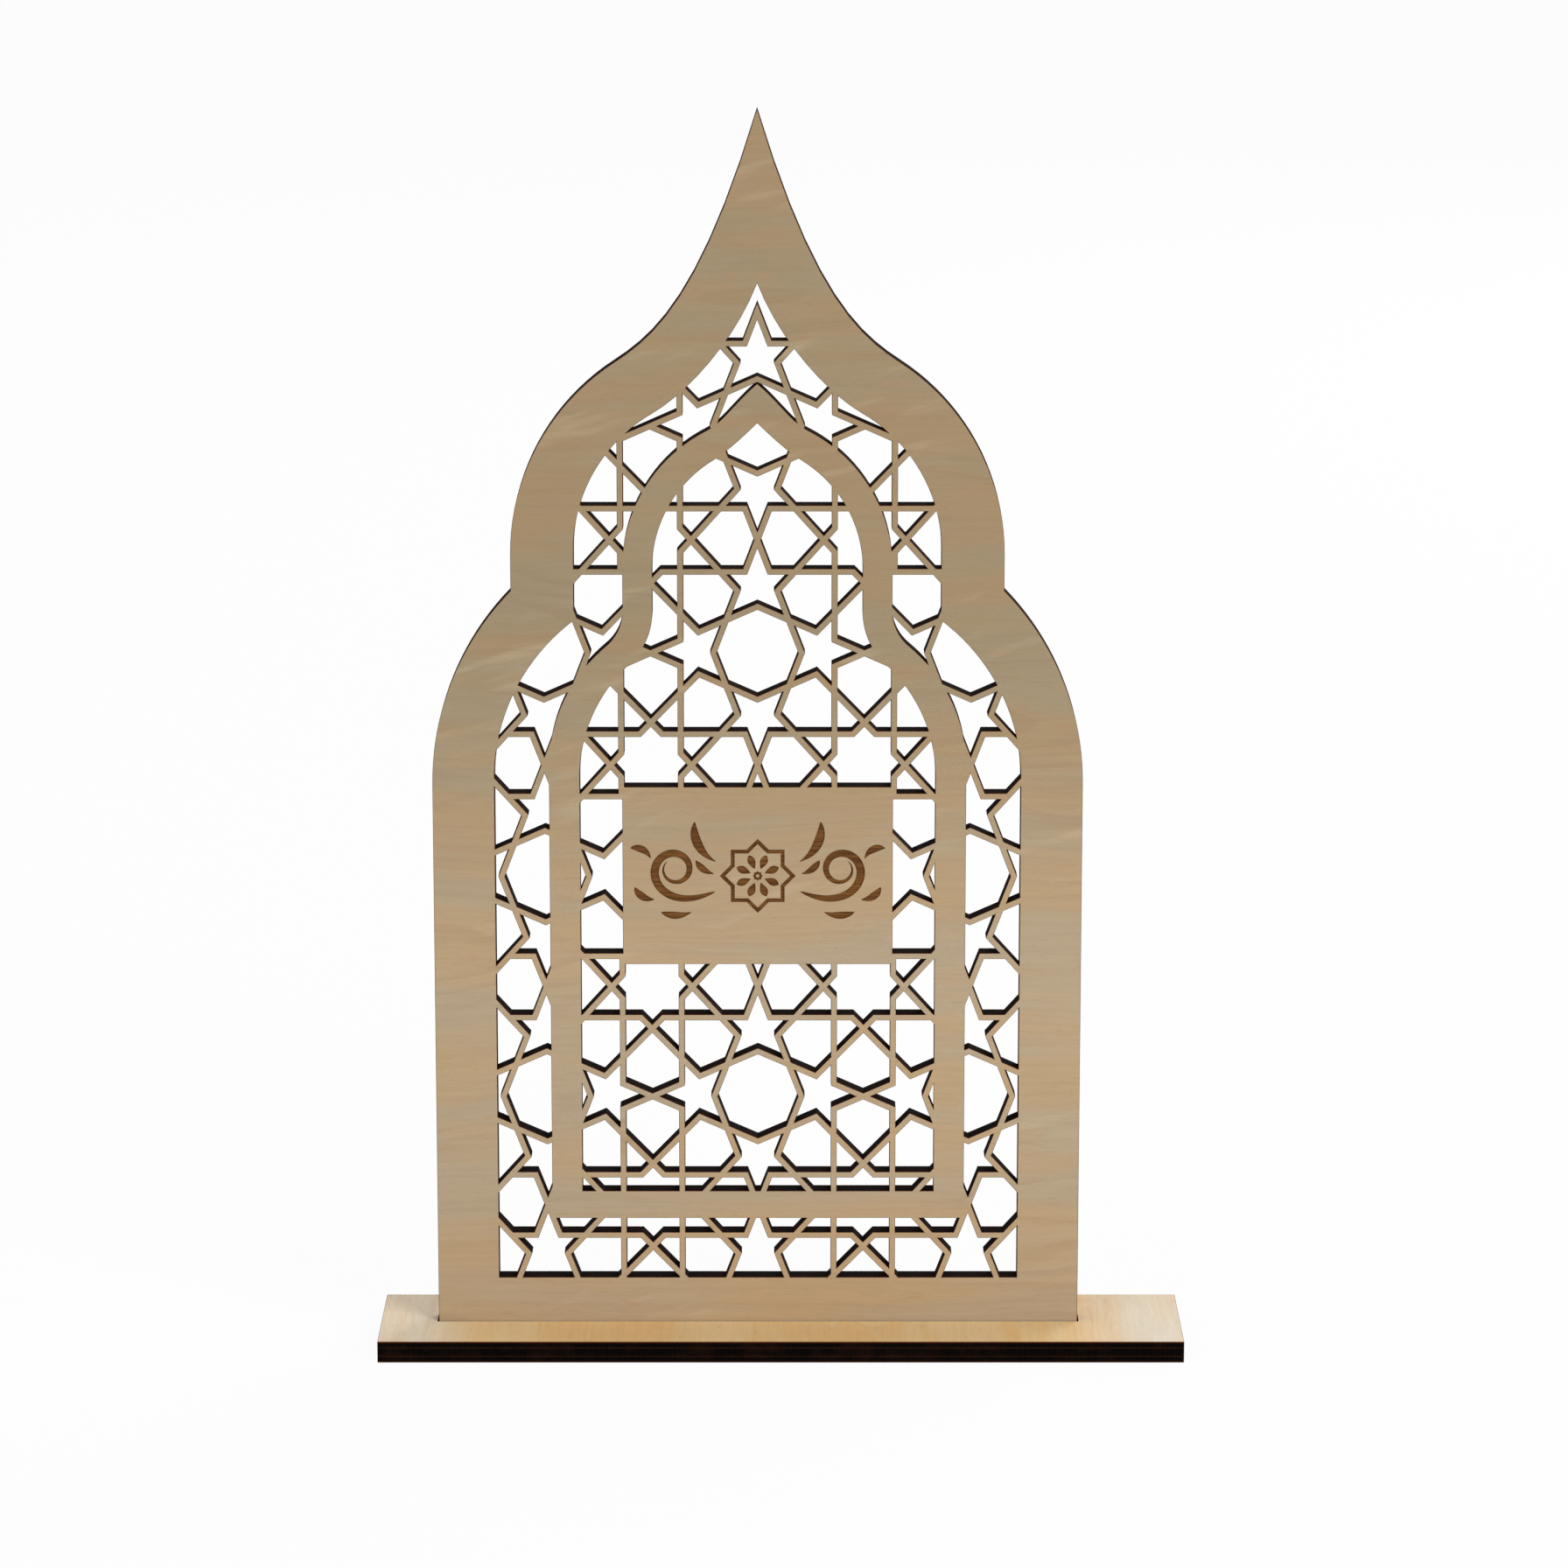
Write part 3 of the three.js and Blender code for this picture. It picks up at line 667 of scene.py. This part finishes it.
class STAND_OT_stage(bpy.types.Operator):
    """Adds the camera, a plain floor, the world and soft studio lamps"""
    bl_idname = "stand.stage"
    bl_label = "Stage"

    def execute(self, context):
        scene = context.scene
        lens = bpy.data.cameras.new("camera")
        lens.sensor_width = SENSOR
        lens.lens = LENS
        camera = bpy.data.objects.new("camera", lens)
        camera.location = CAMERA_PLACE
        camera.rotation_euler = (CAMERA_TILT, 0, 0)
        scene.collection.objects.link(camera)
        scene.camera = camera

        material, tree = blank("matt_studio_floor")
        matt = add(tree, "BsdfDiffuse", {"Color": opaque(scene.stand_finish.floor)})
        white = add(tree, "Emission", {"Strength": 1.0})
        part = add(tree, "Math", {0: seen_white(tree), 1: FLOOR_WHITE}, operation="MULTIPLY")
        add(tree, "OutputMaterial", {"Surface": add(tree, "MixShader", {0: part, 1: matt, 2: white})})
        corners = FLOOR_REACH * np.array([[-1, -1, 0], [1, -1, 0], [1, 1, 0], [-1, 1, 0]], dtype=float)
        plane = build_mesh("floor", corners, [np.array([[0, 1, 2, 3]])], [(0, False)])
        plane.materials.append(material)
        add_piece("floor", plane)

        world = bpy.data.worlds.new("studio")
        world.use_nodes = True
        tree = world.node_tree
        tree.nodes.clear()
        soft = add(tree, "Background", {"Color": WHITE, "Strength": WORLD_LIGHT})
        white = add(tree, "Background", {"Color": WHITE, "Strength": 1.0})
        light = add(tree, "MixShader", {0: seen_white(tree), 1: soft, 2: white})
        add(tree, "OutputWorld", {"Surface": light})
        scene.world = world

        for name, place, size, power in LAMPS:
            light = bpy.data.lights.new(name, "AREA")
            light.shape = "SQUARE"
            light.size = size
            light.energy = power
            lamp = bpy.data.objects.new(name, light)
            lamp.location = place
            x, y, z = np.array(LAMP_AIM) - place
            lamp.rotation_euler = (math.atan2(math.hypot(x, y), -z), 0, math.atan2(-x, y))
            scene.collection.objects.link(lamp)
        return {"FINISHED"}


class STAND_PT_panel(bpy.types.Panel):
    """Lists the settings and the steps in the sidebar"""
    bl_idname = "STAND_PT_panel"
    bl_label = "Pierced Arch Stand"
    bl_space_type = "VIEW_3D"
    bl_region_type = "UI"
    bl_category = "Stand"

    def draw(self, context):
        for group in (context.scene.stand_shape, context.scene.stand_finish):
            box = self.layout.box()
            for name in group.bl_rna.properties.keys():
                if name not in ("rna_type", "name"):
                    box.prop(group, name)
        for step in STEPS:
            self.layout.operator(step.bl_idname)


STEPS = (STAND_OT_stage, STAND_OT_base, STAND_OT_panel, STAND_OT_engraving)
CLASSES = (StandShape, StandFinish, *STEPS, STAND_PT_panel)


def register():
    for cls in CLASSES:
        bpy.utils.register_class(cls)
    bpy.types.Scene.stand_shape = bpy.props.PointerProperty(type=StandShape)
    bpy.types.Scene.stand_finish = bpy.props.PointerProperty(type=StandFinish)


def unregister():
    del bpy.types.Scene.stand_finish
    del bpy.types.Scene.stand_shape
    for cls in reversed(CLASSES):
        bpy.utils.unregister_class(cls)


def main():
    """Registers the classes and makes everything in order."""
    register()
    bpy.context.scene.view_settings.view_transform = "Standard"
    bpy.ops.stand.stage()
    bpy.ops.stand.base()
    bpy.ops.stand.panel()
    bpy.ops.stand.engraving()


if __name__ == "__main__":
    main()
